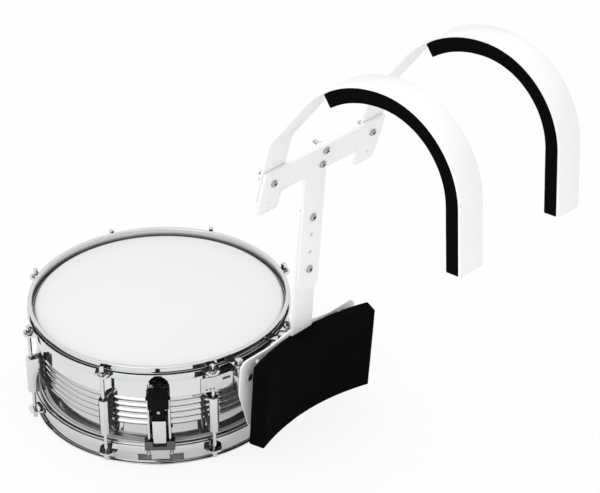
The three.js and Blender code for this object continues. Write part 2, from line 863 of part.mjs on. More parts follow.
// Hoop claws, each with its square-head screw
function clawGeometry() {
  const clawBottom = topFlange + touchGap;
  const clawTop = clawBottom + clawSheet;
  const wall = hoopRadius + hoopSheet + touchGap;
  const headBottom = clawTop + clawWasherHeight;
  const placed = (piece) => piece.translate(0, -clawScrewCircle, 0);
  return join(
    stationBlock(clawWidth, [wall, clawScrewCircle + clawTipMargin], [clawBottom, clawTop]),
    placed(uprightRod(clawScrewRadius, [bracketBottom - clawScrewEndDrop, clawTop])),
    placed(uprightRod(clawWasherRadius, [clawTop - clawSheet / 2, headBottom])),
    placed(block(
      [-clawHeadWidth / 2, clawHeadWidth / 2],
      [-clawHeadWidth / 2, clawHeadWidth / 2],
      [clawTop, headBottom + clawHeadHeight],
    )),
  );
}
addPiece(station(-clawAngle), 'hoop_claw_left', clawGeometry(), 'chrome');
addPiece(station(clawAngle), 'hoop_claw_right', clawGeometry(), 'chrome');

// Carrier. In its own frame X runs along the plate, Y towards the drum and Z up the plate.
const carrier = new THREE.Group();
carrier.position.set(carrierOffset, -plateStandoff, carrierDatum);
carrier.rotation.x = radians(carrierLeanAngle);
drum.add(carrier);

const plateBoltPlaces = [-1, 1].map((side) => [
  side * plateBoltSpread / 2 - carrierOffset,
  (plateBoltRise - carrierDatum) / Math.cos(radians(carrierLeanAngle)),
]);

// Mounting plate
function mountingPlateGeometry() {
  const right = [
    [plateFootHalfWidth, plateFoot],
    [plateHalfWidth, plateWaist],
    [plateHalfWidth, plateTop - plateCornerDrop],
    [plateHalfWidth - plateCornerDrop, plateTop],
    [plateShoulder, plateTop],
    [plateCrownHalfWidth, plateCrown],
  ];
  const left = right.map(([x, z]) => [-x, z]).reverse();
  const holes = plateBoltPlaces.map(([x, z]) => levelRod(
    boltRadius + touchGap,
    [-plateSheet - cutOverrun, cutOverrun],
  ).translate(x, 0, z));
  const slots = [-1, 1].map((side) => levelRod(plateSlotRadius, [-plateSheet - cutOverrun, cutOverrun])
    .translate(side * (plateHalfWidth - plateSlotInset), 0, plateSlotRise));
  return cut(upright([...right, ...left], plateSheet), ...holes, ...slots);
}
addPiece(carrier, 'mounting_plate', mountingPlateGeometry(), 'whiteCoat');

const padBack = -plateSheet - touchGap;

// Bolts. Each is drawn along Y, with its head at y = 0 towards the player and its tip at y = length.
function boltGeometry(length, nutAt) {
  const pieces = [
    levelRod(boltHeadRadius, [-boltHeadHeight, 0]),
    levelRod(boltRadius, [-boltHeadHeight / 2, length], shaftSides),
  ];
  if (nutAt) pieces.push(levelRod(nutRadius, [nutAt, nutAt + nutThickness], hexSides));
  return join(...pieces);
}
const plateBoltLength = plateSheet + touchGap + plateBoltReach;
['left', 'right'].forEach((side, i) => {
  const bolt = addPiece(carrier, `plate_bolt_${side}`, boltGeometry(plateBoltLength), 'zinc');
  bolt.position.set(plateBoltPlaces[i][0], padBack, plateBoltPlaces[i][1]);
});

// Belly pad
function bellyPadGeometry() {
  const centre = padBack - bellyRadius;
  const reach = Math.asin(bellyHalfWidth / bellyRadius);
  const outline = [];
  const innerSide = [];
  for (let i = 0; i <= bellyFacets; i += 1) {
    const angle = -reach + 2 * reach * i / bellyFacets;
    const point = (radius) => [radius * Math.sin(angle), centre + radius * Math.cos(angle)];
    outline.push(point(bellyRadius));
    innerSide.unshift(point(bellyRadius - bellyThickness));
  }
  const pad = sheet([...outline, ...innerSide], bellyTop - bellyBottom).translate(0, 0, bellyBottom);
  const channelHalf = postWidth / 2 + bellyChannelGap;
  const channelDepth = lowerPostSheet + touchGap;
  const channel = block(
    [-channelHalf, channelHalf],
    [padBack - channelDepth, padBack + cutOverrun],
    [bellyBottom - cutOverrun, bellyTop + cutOverrun],
  );
  const [boltX, boltZ] = plateBoltPlaces[1];
  const pocketReach = [padBack - boltHeadHeight - runningGap, padBack + cutOverrun];
  const pocket = levelRod(boltHeadRadius + runningGap, pocketReach).translate(boltX, 0, boltZ);
  return cut(pad, channel, pocket);
}
addPiece(carrier, 'belly_pad', bellyPadGeometry(), 'blackFoam');

// Lower post
const postHoles = Array.from({ length: postHoleCount }, (_, i) => postHoleFirst + postHolePitch * i);
const lastPostHole = postHoles[postHoleCount - 1];
const upperPostBend = lastPostHole + upperPostBendRise;
const lowerPostFace = padBack - lowerPostSheet;
const upperPostBack = lowerPostFace - touchGap;
const upperPostFace = upperPostBack - upperPostSheet;
const postHoleTools = (back, front) => postHoles.map((z) => levelRod(
  postHoleRadius,
  [front - cutOverrun, back + cutOverrun],
  shaftSides,
).translate(0, 0, z));
addPiece(
  carrier,
  'lower_post',
  cut(
    block(
      [-postWidth / 2, postWidth / 2],
      [lowerPostFace, padBack],
      [lowerPostBottom, lastPostHole + lowerPostMargin],
    ),
    ...postHoleTools(padBack, lowerPostFace),
  ),
  'whiteCoat',
);

const crossBoltHeights = [crossBoltLowerShare, crossBoltUpperShare]
  .map((share) => crossBottom + crossHeight * share);
const armBoltRise = crossBottom + crossHeight * armBoltShare;

// The cross-piece's frame: at the post's bend, on its player's side, leaning further back
const crossFrame = new THREE.Group();
crossFrame.position.set(0, upperPostFace, upperPostBend);
crossFrame.rotation.x = radians(upperLeanAngle);
carrier.add(crossFrame);

// Upper post, drawn in the carrier's frame with its head turned into the cross-piece's frame
function upperPostGeometry() {
  const lean = radians(upperLeanAngle);
  const miter = upperPostSheet * Math.tan(lean / 2);
  const tailBase = [upperPostFace, upperPostBend];
  const tail = crossBoltHeights[1] + upperPostTailMargin;
  const bottom = postHoles[0] - upperPostMargin;
  const along = (distance, depth) => [
    tailBase[0] - Math.sin(lean) * distance + Math.cos(lean) * depth,
    tailBase[1] + Math.cos(lean) * distance + Math.sin(lean) * depth,
  ];
  const outline = [
    [upperPostFace, bottom],
    [upperPostBack, bottom],
    [upperPostBack, upperPostBend + miter],
    along(tail, upperPostSheet),
    along(tail, 0),
    tailBase,
  ];
  const corner = sheet([
    [postWidth / 2 - upperPostCorner, -cutOverrun],
    [postWidth / 2 + cutOverrun, -cutOverrun],
    [postWidth / 2 + cutOverrun, upperPostCorner],
    [postWidth / 2, upperPostCorner],
    [postWidth / 2 - upperPostCorner, 0],
  ], upperPostSheet + 2 * cutOverrun)
    .rotateX(Math.PI / 2)
    .translate(0, upperPostBack + cutOverrun, bottom);
  const crossHoles = crossBoltHeights.map((z) => levelRod(
    boltRadius + touchGap,
    [-cutOverrun, upperPostSheet + cutOverrun],
  ).translate(0, 0, z).rotateX(lean).translate(0, ...tailBase));
  return cut(
    sideways(outline, postWidth),
    corner,
    ...crossHoles,
    ...postHoleTools(upperPostBack, upperPostFace),
  );
}
addPiece(carrier, 'upper_post', upperPostGeometry(), 'whiteCoat');

// Post bolts, in the lowest and the highest hole
const postBoltStack = upperPostSheet + lowerPostSheet + 3 * touchGap;
[['lower', postHoles[0]], ['upper', lastPostHole]].forEach(([name, z]) => {
  const bolt = addPiece(
    carrier,
    `post_bolt_${name}`,
    boltGeometry(postBoltStack + nutThickness + boltTip, postBoltStack),
    'zinc',
  );
  bolt.position.set(0, upperPostFace - touchGap, z);
});

// Cross-piece
const crossFront = -touchGap - crossSheet;
const armBoltX = crossHalfWidth - armBoltInset;

function crossPieceGeometry() {
  const right = [
    [crossHalfWidth - crossTabWidth, crossBottom],
    [crossHalfWidth - crossTabWidth, crossBottom - crossTabDrop],
    [crossHalfWidth - crossTabTaper, crossBottom - crossTabDrop],
    [crossHalfWidth, crossBottom],
    [crossHalfWidth, crossBottom + crossHeight],
  ];
  const left = right.map(([x, z]) => [-x, z]).reverse();
  const holeReach = [crossFront - cutOverrun, cutOverrun];
  const hole = (x, z) => levelRod(boltRadius + touchGap, holeReach).translate(x, 0, z);
  const holes = crossBoltHeights.map((z) => hole(0, z));
  const tabHoleRise = crossBottom - crossTabDrop * tabHoleShare;
  for (const side of [-1, 1]) {
    holes.push(hole(side * armBoltX, armBoltRise), hole(side * armBoltX, tabHoleRise));
  }
  return cut(upright([...right, ...left], crossSheet, -touchGap), ...holes);
}
addPiece(crossFrame, 'cross_piece', crossPieceGeometry(), 'whiteCoat');

const crossBoltStack = crossSheet + touchGap + upperPostSheet + 2 * touchGap;
['lower', 'upper'].forEach((name, i) => {
  const bolt = addPiece(
    crossFrame,
    `cross_bolt_${name}`,
    boltGeometry(crossBoltStack + nutThickness + boltTip, crossBoltStack),
    'zinc',
  );
  bolt.position.set(0, crossFront - touchGap, crossBoltHeights[i]);
});

// Shoulder arms and pads, drawn at x = 0 in the cross-piece's frame
const armMoves = [
  { ahead: armRise },
  { turn: armBendAngle, radius: armBend },
  { ahead: armSlope },
  { turn: armFrontAngle, radius: armFrontRadius },
  { turn: armBackAngle, radius: armBackRadius },
  { ahead: armTail },
];
const armPath = trail([armSheet, armFoot], armMoves);

function armGeometry() {
  const strip = sideways(band(armPath, 0, armSheet), armWidth);
  const holeReach = [-cutOverrun, armSheet + cutOverrun];
  return cut(strip, levelRod(boltRadius + touchGap, holeReach).translate(0, 0, armBoltRise));
}

function shoulderPadGeometry() {
  const start = radians(armBendAngle + padStartAngle);
  const padPath = armPath.filter(({ heading }) => heading > start);
  const near = armSheet + touchGap;
  return geometryOf(solidOf(sideways(band(padPath, near, near + padThickness), armWidth)));
}

// Wing nut with its base at y = 0
function wingNutGeometry() {
  const wing = block(
    [-wingSpan / 2, wingSpan / 2],
    [wingHubHeight / 2, wingHeight],
    [-wingSheet / 2, wingSheet / 2],
  );
  const hub = levelRod(wingHubRadius, [0, wingHubHeight]);
  const bore = levelRod(boltRadius + touchGap, [-cutOverrun, wingHeight + cutOverrun]);
  return cut(join(hub, wing), bore);
}

['left', 'right'].forEach((side, i) => {
  const arm = new THREE.Group();
  arm.position.x = i === 0 ? -armBoltX : armBoltX;
  crossFrame.add(arm);
  addPiece(arm, `shoulder_arm_${side}`, armGeometry(), 'whiteCoat');
  addPiece(arm, `shoulder_pad_${side}`, shoulderPadGeometry(), 'blackFoam');
  const armStack = crossSheet + touchGap + armSheet + 2 * touchGap;
  const bolt = addPiece(arm, `arm_bolt_${side}`, boltGeometry(armStack + wingHeight + boltTip), 'zinc');
  bolt.position.set(0, crossFront - touchGap, armBoltRise);
  const nut = addPiece(arm, `arm_wing_nut_${side}`, wingNutGeometry(), 'zinc');
  nut.position.set(0, armSheet + touchGap, armBoltRise);
});

// The origin is the middle of the model's box, at the surface it stands on.
const bounds = new THREE.Box3().setFromObject(model, true);
const middle = bounds.getCenter(new THREE.Vector3());
drum.position.set(-middle.x, -middle.y, -bounds.min.z);

export default model;
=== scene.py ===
from math import asin, cos, degrees, pi, radians, sin

import bmesh
import bpy
from mathutils import Matrix, Vector, noise


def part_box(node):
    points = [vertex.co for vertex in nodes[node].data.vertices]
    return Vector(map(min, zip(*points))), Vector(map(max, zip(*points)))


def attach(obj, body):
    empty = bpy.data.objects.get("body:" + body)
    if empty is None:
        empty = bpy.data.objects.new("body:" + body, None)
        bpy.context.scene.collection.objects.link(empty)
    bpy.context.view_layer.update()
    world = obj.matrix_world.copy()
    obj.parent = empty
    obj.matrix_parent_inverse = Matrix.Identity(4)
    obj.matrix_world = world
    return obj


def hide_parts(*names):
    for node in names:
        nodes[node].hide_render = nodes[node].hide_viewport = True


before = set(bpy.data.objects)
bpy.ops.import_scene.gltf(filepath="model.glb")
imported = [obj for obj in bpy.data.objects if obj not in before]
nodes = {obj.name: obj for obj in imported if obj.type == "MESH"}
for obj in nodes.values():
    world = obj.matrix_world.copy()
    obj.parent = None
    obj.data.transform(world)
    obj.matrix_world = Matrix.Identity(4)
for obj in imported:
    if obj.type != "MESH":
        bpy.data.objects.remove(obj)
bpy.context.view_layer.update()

# Sizes in millimetres from the drum's axis and the middle of its height. Side 1 is the top, -1 the bottom.
touch_gap, overrun = 0.3, 2
shell_radius, shell_wall, shell_half, shell_rise = 178, 1.2, 70, 2.3
bead_count, bead_pitch, bead_height, bead_width, bead_fullness = 5, 9.7, 2, 7, 0.8
vent_angle, vent_height, vent_bore = 88, 44.996, 4.3
rim_rise, hoop_radius, hoop_sheet, lip_width, flange_width = 82.35, 182, 2, 6, 7
wall_heights, skirt_heights = {1: 11.95, -1: 19.85}, {1: 10.05, -1: 11.8}
flange_radius = hoop_radius + flange_width
ear_reach, ear_sheet = 16, 3
gate_half, gate_sill, gate_height = 32, 3.05, 10.5
flesh_heights, flesh_width, film_sheet = {1: 7.2, -1: 11.7}, 5.9, 0.6
rod_circle, lug_count, strainer_angle = 197, 8, -44.5
lug_angles = [strainer_angle + 360 / lug_count * (i + 0.5) for i in range(lug_count)]
fitting_back, lug_front, lug_width, lug_height, lug_bore_depth = 180.3, 204, 14, 57, 15
clamp_front, clamp_bottom, clamp_screw_x = 202, -46.596, 16
lever_pivot, lever_back, pivot_circle = 11.004, 200, 196
knob_foot, knob_neck, knob_rim = 52.304, 58.304, 60.304
strap_radius, strap_width, strap_sheet, strap_turn = 193.5, 25, 0.5, 4
wire_count, wire_pitch, wire_radius, wire_end, end_plate_half = 20, 2.5, 0.7, 150, 7.5
claw_circle, claw_half_spread, claw_sheet = 207, 43, 4

# Sizes of the carrier from its mounting plate, and of the cross-piece and arms from the upper post's bend
carrier_side, carrier_front, carrier_rise, carrier_lean = 66.5, -209, 60, 4.5
plate_sheet, post_width, lower_sheet, upper_sheet = 3, 40, 4, 4.7
plate_bolt_x, plate_bolt_height, side_hole_x, side_hole_z = 33, 54, 84.5, 14
bolt_hole, post_hole, side_hole = 3, 3.2, 3.5
post_holes = [133.4 + 28.2 * i for i in range(4)]
lower_post_foot, lower_post_margin, post_foot, post_tail = -80, 11.5, 98.5, 6.8
bend, lean = 284.4, 11.3
cross_sheet, cross_low, cross_high, tab_low, tab_hole = 5, 12.6, 57.1, -15.4, 2.3
cross_bolts = [23.28, 47.09]
arm_width, arm_sheet, arm_bolt_x, arm_bolt_z, arm_foot = 42, 3.5, 95.5, 35.3, 8
pad_thickness, belly_thickness = 19, 23
plate_bolt_length, post_bolt_length, cross_bolt_length, arm_bolt_length = 10.3, 22.1, 23.1, 26.4
post_nut_at, cross_nut_at = 9.6, 10.6

head_low, head_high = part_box("batter_head")
rim_low, rim_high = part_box("bottom_hoop")[0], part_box("top_hoop")[1]
drum = Matrix.Translation((
    (head_low.x + head_high.x) / 2, (head_low.y + head_high.y) / 2, (rim_low.z + rim_high.z) / 2,
)) @ Matrix.Scale(0.001, 4)


def moved(x=0, y=0, z=0):
    return Matrix.Translation((x, y, z))


def turned(angle, axis):
    return Matrix.Rotation(radians(angle), 4, axis)


def station(angle):
    return drum @ turned(angle, "Z")


strainer = station(strainer_angle)
butt = station(strainer_angle + 180)
carrier = drum @ moved(carrier_side, carrier_front, carrier_rise) @ turned(carrier_lean, "X")
pad_back = -plate_sheet - touch_gap
upper_face = -(plate_sheet + touch_gap + lower_sheet + touch_gap + upper_sheet)
cross_frame = carrier @ moved(0, upper_face, bend) @ turned(lean, "X")
standing, lying = turned(90, "X"), turned(-90, "X")
side_on = Matrix(((0, 0, 1, 0), (1, 0, 0, 0), (0, 1, 0, 0), (0, 0, 0, 1)))


# Outlines
def rounded(points, reach, steps=4):
    """The outline with each corner turned into a short curve."""
    result = []
    for i, corner in enumerate(points):
        here = Vector(corner)
        before = Vector(points[i - 1]) - here
        after = Vector(points[(i + 1) % len(points)]) - here
        first = here + before.normalized() * min(reach, 0.45 * before.length)
        last = here + after.normalized() * min(reach, 0.45 * after.length)
        for k in range(steps + 1):
            t = k / steps
            result.append(tuple(first * (1 - t) ** 2 + here * 2 * t * (1 - t) + last * t * t))
    return result


def mirrored(right):
    """The right half of an outline with its left half added."""
    return right + [(-x, y) for x, y in reversed(right)]


def trail(start, moves):
    """A bent strip's path in its side view: place and heading, with a step each degree of a bend."""
    at, heading = Vector(start), 0.0
    path = [(at.copy(), heading)]
    for kind, size, radius in moves:
        if kind == "ahead":
            steps = max(1, round(size / 3))
            for _ in range(steps):
                at = at + Vector((-sin(heading), cos(heading))) * (size / steps)
                path.append((at.copy(), heading))
            continue
        steps = round(size)
        centre = at + Vector((-cos(heading), -sin(heading))) * radius
        begin = heading
        for k in range(1, steps + 1):
            heading = begin + radians(size) * k / steps
            at = centre + Vector((cos(heading), sin(heading))) * radius
            path.append((at.copy(), heading))
    return path


def off_path(point, depth):
    at, heading = point
    return at - Vector((cos(heading), sin(heading))) * depth


# Mesh work
def ease(bm, edges, reach, segments=2, clamp_overlap=False):
    bmesh.ops.bevel(
        bm, geom=edges, offset=reach, segments=segments, profile=0.5, affect="EDGES", material=-1,
        clamp_overlap=clamp_overlap,
    )


def outline_sheet(outline, thickness, easing=0.4):
    """A flat sheet in the XY plane from z = 0 up, with eased edges."""
    bm = bmesh.new()
    face = bm.faces.new([bm.verts.new((x, y, 0)) for x, y in outline])
    made = bmesh.ops.extrude_face_region(bm, geom=[face])
    top = [v for v in made["geom"] if isinstance(v, bmesh.types.BMVert)]
    bmesh.ops.translate(bm, verts=top, vec=(0, 0, thickness))
    bmesh.ops.recalc_face_normals(bm, faces=bm.faces)
    if easing:
        rims = [e for e in bm.edges if abs(e.verts[0].co.z - e.verts[1].co.z) < 1e-6]
        ease(bm, rims, easing)
    return bm


def spun(profile, steps=192, closed=True):
    """The profile of (radius, height) turned about Z."""
    bm = bmesh.new()
    verts = [bm.verts.new((r, 0, z)) for r, z in profile]
    pairs = list(zip(verts, verts[1:]))
    if closed:
        pairs.append((verts[-1], verts[0]))
    edges = [bm.edges.new(pair) for pair in pairs]
    bmesh.ops.spin(
        bm, geom=verts + edges, cent=(0, 0, 0), axis=(0, 0, 1), angle=2 * pi, steps=steps, use_merge=True,
    )
    bmesh.ops.remove_doubles(bm, verts=bm.verts, dist=1e-4)
    bmesh.ops.recalc_face_normals(bm, faces=bm.faces)
    return bm


def rod(radius, low, high, easing=0.3, sides=48):
    """A round bar along Z."""
    edge = [(0, low), (radius - easing, low), (radius, low + easing), (radius, high - easing)]
    return spun(edge + [(radius - easing, high), (0, high)], sides, closed=False)


def block(x, y, z, easing=0.4):
    """A box between two places on each axis."""
    bm = bmesh.new()
    bmesh.ops.create_cube(bm, size=1)
    bmesh.ops.scale(bm, verts=bm.verts, vec=[high - low for low, high in (x, y, z)])
    bmesh.ops.translate(bm, verts=bm.verts, vec=[(low + high) / 2 for low, high in (x, y, z)])
    if easing:
        ease(bm, bm.edges[:], easing)
    return bm


def put(bm, place):
    bm.transform(place)
    return bm


def together(*parts):
    """One mesh that holds all the parts."""
    whole = bmesh.new()
    for part in parts:
        mesh = bpy.data.meshes.new("part")
        part.to_mesh(mesh)
        part.free()
        whole.from_mesh(mesh)
        bpy.data.meshes.remove(mesh)
    return whole


def loose_object(bm):
    mesh = bpy.data.meshes.new("loose")
    bm.to_mesh(mesh)
    bm.free()
    obj = bpy.data.objects.new("loose", mesh)
    bpy.context.scene.collection.objects.link(obj)
    return obj


def cut(bm, *tools):
    """The piece with the tools' shapes taken out of it."""
    body, tool = loose_object(bm), loose_object(together(*tools))
    modifier = body.modifiers.new("cut", "BOOLEAN")
    modifier.operation = "DIFFERENCE"
    modifier.solver = "EXACT"
    modifier.object = tool
    bpy.context.view_layer.update()
    shape = body.evaluated_get(bpy.context.evaluated_depsgraph_get()).to_mesh()
    result = bmesh.new()
    result.from_mesh(shape)
    for obj in (body, tool):
        bpy.data.objects.remove(obj)
    return result


def eased_copy(node, easing):
    """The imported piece's own shape, with its flat faces whole and its edges eased."""
    bm = bmesh.new()
    bm.from_mesh(nodes[node].data)
    bmesh.ops.remove_doubles(bm, verts=bm.verts, dist=1e-6)
    bmesh.ops.dissolve_limit(
        bm, angle_limit=radians(1), use_dissolve_boundaries=False, verts=bm.verts, edges=bm.edges,
    )
    sharp = [e for e in bm.edges if e.is_manifold and e.calc_face_angle(0) > radians(32)]
    ease(bm, sharp, easing * 0.001, clamp_overlap=True)
    return bm


def piece(name, bm, place, material, replaces, body="frame", smooth=38):
    bm.transform(place)
    bmesh.ops.recalc_face_normals(bm, faces=bm.faces)
    mesh = bpy.data.meshes.new(name)
    bm.to_mesh(mesh)
    bm.free()
    mesh.shade_smooth()
    mesh.set_sharp_from_angle(angle=radians(smooth))
    mesh.materials.append(material)
    obj = bpy.data.objects.new(name, mesh)
    bpy.context.scene.collection.objects.link(obj)
    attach(obj, body)
    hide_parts(*replaces)
    return obj


# Materials
def surface(
    name, colour, roughness, metal=0.0, grain=(400, 0.1), spread=0.05, bump=0.02, kind="noise", shine=0.5,
):
    """A plain finish. Its grain, of a scale and a share of the colour, shows in roughness, tint and bump."""
    (grain_scale, grain_share), tint_scale, bump_depth = grain, 22, 0.0005
    material = bpy.data.materials.new(name)
    material.use_nodes = True
    tree = material.node_tree
    shader = tree.nodes["Principled BSDF"]
    place = tree.nodes.new("ShaderNodeTexCoord")
    if kind == "cells":
        texture = tree.nodes.new("ShaderNodeTexVoronoi")
        value = texture.outputs["Distance"]
    else:
        texture = tree.nodes.new("ShaderNodeTexNoise")
        texture.inputs["Detail"].default_value = 4
        value = texture.outputs["Fac"]
    texture.inputs["Scale"].default_value = grain_scale
    tree.links.new(place.outputs["Object"], texture.inputs["Vector"])
    span = tree.nodes.new("ShaderNodeMapRange")
    span.inputs["To Min"].default_value = max(0.02, roughness - spread)
    span.inputs["To Max"].default_value = roughness + spread
    tree.links.new(value, span.inputs["Value"])
    tree.links.new(span.outputs["Result"], shader.inputs["Roughness"])
    broad = tree.nodes.new("ShaderNodeTexNoise")
    broad.inputs["Scale"].default_value = tint_scale
    broad.inputs["Detail"].default_value = 3
    tree.links.new(place.outputs["Object"], broad.inputs["Vector"])
    tint = tree.nodes.new("ShaderNodeMix")
    tint.data_type = "RGBA"
    tint.inputs["A"].default_value = (*[c * (1 - grain_share) for c in colour], 1)
    tint.inputs["B"].default_value = (*colour, 1)
    tree.links.new(broad.outputs["Fac"], tint.inputs["Factor"])
    tree.links.new(tint.outputs["Result"], shader.inputs["Base Color"])
    relief = tree.nodes.new("ShaderNodeBump")
    relief.inputs["Strength"].default_value = bump
    relief.inputs["Distance"].default_value = bump_depth
    tree.links.new(value, relief.inputs["Height"])
    tree.links.new(relief.outputs["Normal"], shader.inputs["Normal"])
    shader.inputs["Metallic"].default_value = metal
    shader.inputs["Specular IOR Level"].default_value = shine
    return material


chrome = surface("chrome", (0.74, 0.75, 0.76), 0.06, 1, (60, 0.03), 0.03, 0.01)
worn_chrome = surface("chrome_fittings", (0.72, 0.73, 0.74), 0.09, 1, (90, 0.04), 0.04, 0.02)
film = surface("coated_film", (0.815, 0.815, 0.81), 0.5, 0, (1500, 0.015), 0.08, 0.06)
flesh_metal = surface("flesh_hoop_metal", (0.72, 0.73, 0.74), 0.22, 1, (300, 0.05), 0.06, 0.02)
wire_steel = surface("snare_wire_steel", (0.66, 0.67, 0.68), 0.24, 1, (900, 0.1), 0.08, 0.1)
black_plastic = surface("black_plastic", (0.004, 0.004, 0.0045), 0.3, 0, (700, 0.2), 0.06, 0.04, shine=0.05)
white_coat = surface("white_powder_coat", (0.92, 0.92, 0.92), 0.38, 0, (900, 0.015), 0.06, 0.06)
foam = surface("black_foam", (0.0035, 0.0035, 0.004), 0.9, 0, (700, 0.3), 0.08, 0.35, "cells", 0.02)
zinc = surface("zinc_plate", (0.52, 0.53, 0.54), 0.32, 1, (260, 0.12), 0.09, 0.05)
plated = surface("plated_steel", (0.68, 0.69, 0.70), 0.22, 1, (200, 0.08), 0.06, 0.03)
# Painted shade: a near-black colour for a disc that stands in for the shade inside a bolt head's socket
painted_socket_shade = surface("painted_socket_shade", (0.03, 0.03, 0.03), 0.5, 0.6, (300, 0.3), 0.1, 0.05)
# Chrome with a near-black colour: the clamps' dark reflections are painted into it, the clamps being chrome
# like the fittings
painted_dark_reflection_chrome = surface("painted_dark_reflection_chrome", (0.13, 0.13, 0.135), 0.16, 1, (200, 0.1), 0.05, 0.03)


# Shell with rounded beads, a grommet hole and soft bearing edges
def shell_profile():
    """The beads, then the bearing edge over the top and back inside, and the same again below."""
    middle_bead, steps = (bead_count - 1) / 2, 75

    def outer(z):
        rise = 0
        for i in range(bead_count):
            off = z - (i - middle_bead) * bead_pitch
            if abs(off) < bead_width / 2:
                rise = bead_height * (0.5 + 0.5 * cos(2 * pi * off / bead_width)) ** bead_fullness
        return shell_radius + rise

    zone = middle_bead * bead_pitch + bead_width / 2
    heights = [zone * (k / steps * 2 - 1) for k in range(steps + 1)]
    end = [(178, 67), (177.6, 68.6), (176.4, 69.8), (175, 70), (172, 69.6), (168, 68.5), (168, 67.3)]
    end += [(171.8, 68.3), (174.6, 68.8), (176.2, 68), (176.8, 66.4)]
    upper = [(outer(z), z) for z in heights] + end
    inner = [(outer(z) - shell_wall, z) for z in reversed(heights)]
    return upper + inner + [(r, -z) for r, z in reversed(end)]


vent_way = turned(vent_angle, "Z") @ moved(0, -shell_radius, vent_height - shell_rise) @ standing
shell = cut(spun(shell_profile(), 240), put(rod(vent_bore, -20, 20, 0), vent_way))
piece("shell_body", shell, drum @ moved(z=shell_rise), chrome, ["shell"])
vent = spun([(2.8, -1.5), (3.2, -1.5), (5.4, -1.3), (7, -0.4), (7, -0.3), (4, -0.3), (4, 4), (2.8, 4)], 48)
vent_place = station(vent_angle) @ moved(0, -shell_radius, vent_height) @ lying
piece("vent_ring", vent, vent_place, worn_chrome, ["vent_grommet"])


# Hoops
def hoop(side):
    flange = rim_rise - wall_heights[side]
    skirt = flange - skirt_heights[side]
    profile = rounded([
        (hoop_radius, rim_rise), (hoop_radius + lip_width, rim_rise),
        (hoop_radius + lip_width, rim_rise - hoop_sheet), (hoop_radius + hoop_sheet, rim_rise - hoop_sheet),
        (hoop_radius + hoop_sheet, flange), (flange_radius, flange), (flange_radius, skirt),
        (flange_radius - hoop_sheet, skirt), (flange_radius - hoop_sheet, flange - hoop_sheet),
        (hoop_radius, flange - hoop_sheet),
    ], 0.9)
    ring = spun([(r, side * z) for r, z in profile], 240)
    if side < 0:
        gate_bottom = -rim_rise + hoop_sheet + gate_sill
        gate_box = ((-gate_half, gate_half), (-194, -176), (gate_bottom, gate_bottom + gate_height))
        gate_angles = (strainer_angle, strainer_angle + 180)
        ring = cut(ring, *[put(block(*gate_box, 0), turned(angle, "Z")) for angle in gate_angles])
    ears = []
    root, tip = flange_radius - hoop_sheet * 0.8, flange_radius + ear_reach
    outline = rounded([
        (-13, -root), (-13, -flange_radius), (-8, -tip), (8, -tip), (13, -flange_radius), (13, -root),
    ], 5)
    ear_bottom = flange - ear_sheet if side > 0 else -flange
    for angle in lug_angles:
        ears.append(put(outline_sheet(outline, ear_sheet, 0.6), turned(angle, "Z") @ moved(z=ear_bottom)))
    return together(ring, *ears)


piece("hoop_top", hoop(1), drum, chrome, ["top_hoop"])
piece("hoop_bottom", hoop(-1), drum, chrome, ["bottom_hoop"])


# Heads: a film with a turned-down collar, and a metal flesh hoop
def head(side):
    edge = shell_half + side * shell_rise
    top = edge + touch_gap
    ring_top = rim_rise - wall_heights[side] - hoop_sheet - touch_gap
    ring_bottom = ring_top - flesh_heights[side]
    ring_outer = flange_radius - hoop_sheet - touch_gap
    ring_inner = ring_outer - flesh_width
    collar = [
        (174.6, top), (176.2, top - 0.3), (177.4, top - 1.1), (178.1, top - 2.2), (178.3, top - 3.4),
        (178.3, ring_bottom + 0.4), (ring_inner, ring_bottom + 0.4), (ring_inner, ring_bottom + 1),
        (178.9, ring_bottom + 1), (178.9, top - 3.2), (178.7, top - 1.9), (177.9, top - 0.6),
        (176.5, top + 0.3), (174.7, top + film_sheet),
    ]
    skin = [(0, top), *collar, (0, top + film_sheet)]
    ring = rounded([
        (ring_outer, ring_bottom), (ring_outer, ring_top), (ring_inner, ring_top),
        (ring_inner, ring_bottom),
    ], 1.2)
    skin, ring = [(r, side * z) for r, z in skin], [(r, side * z) for r, z in ring]
    return spun(skin, 192, closed=False), spun(ring, 192)


for side, node in ((1, "batter_head"), (-1, "snare_head")):
    skin, ring = head(side)
    piece(f"{node}_film", skin, drum, film, [node])
    piece(f"{node}_flesh_hoop", ring, drum, flesh_metal, [node])


# Lugs and tension rods
def lug():
    half, top, shoulder, corner = lug_width / 2, lug_height / 2, 5, 4
    outline = rounded([
        (-half, -fitting_back), (-half, -lug_front + shoulder), (-half + corner, -lug_front),
        (half - corner, -lug_front), (half, -lug_front + shoulder), (half, -fitting_back),
    ], 0.8, 3)
    body = put(outline_sheet(outline, lug_height, 0.8), moved(z=-top))
    bores = [
        put(rod(3.1, low, low + lug_bore_depth + overrun, 0, 32), moved(0, -rod_circle))
        for low in (top - lug_bore_depth, -top - overrun)
    ]
    return cut(body, *bores)


def tension_rod(ear_face):
    """Along Z from the washer's lower face, with its shaft down to the end of the lug's bore."""
    shaft_end = -(ear_face + touch_gap - lug_height / 2 + lug_bore_depth)
    shaft, washer, collar = rod(2.7, shaft_end, 0.8, 0.3, 32), rod(6.5, 0, 1, 0.3), rod(5.5, 0.8, 2.4, 0.3)
    key_head = put(block((-3, 3), (-3, 3), (2.2, 10.7), 0.5), turned(20, "Z"))
    return together(shaft, washer, collar, key_head)


for i, angle in enumerate(lug_angles):
    number = i + 1
    piece(f"lug_casting_{number}", lug(), station(angle), worn_chrome, [f"lug_{number}"])
    for side, node in ((1, "top_rod"), (-1, "bottom_rod")):
        ear_face = rim_rise - wall_heights[side]
        flip = Matrix.Identity(4) if side > 0 else turned(180, "X")
        place = station(angle) @ moved(0, -rod_circle, side * (ear_face + touch_gap)) @ flip
        bolt_name, stands_for = f"{node}_bolt_{number}", [f"{node}_{number}"]
        piece(bolt_name, tension_rod(ear_face), place, worn_chrome, stands_for)


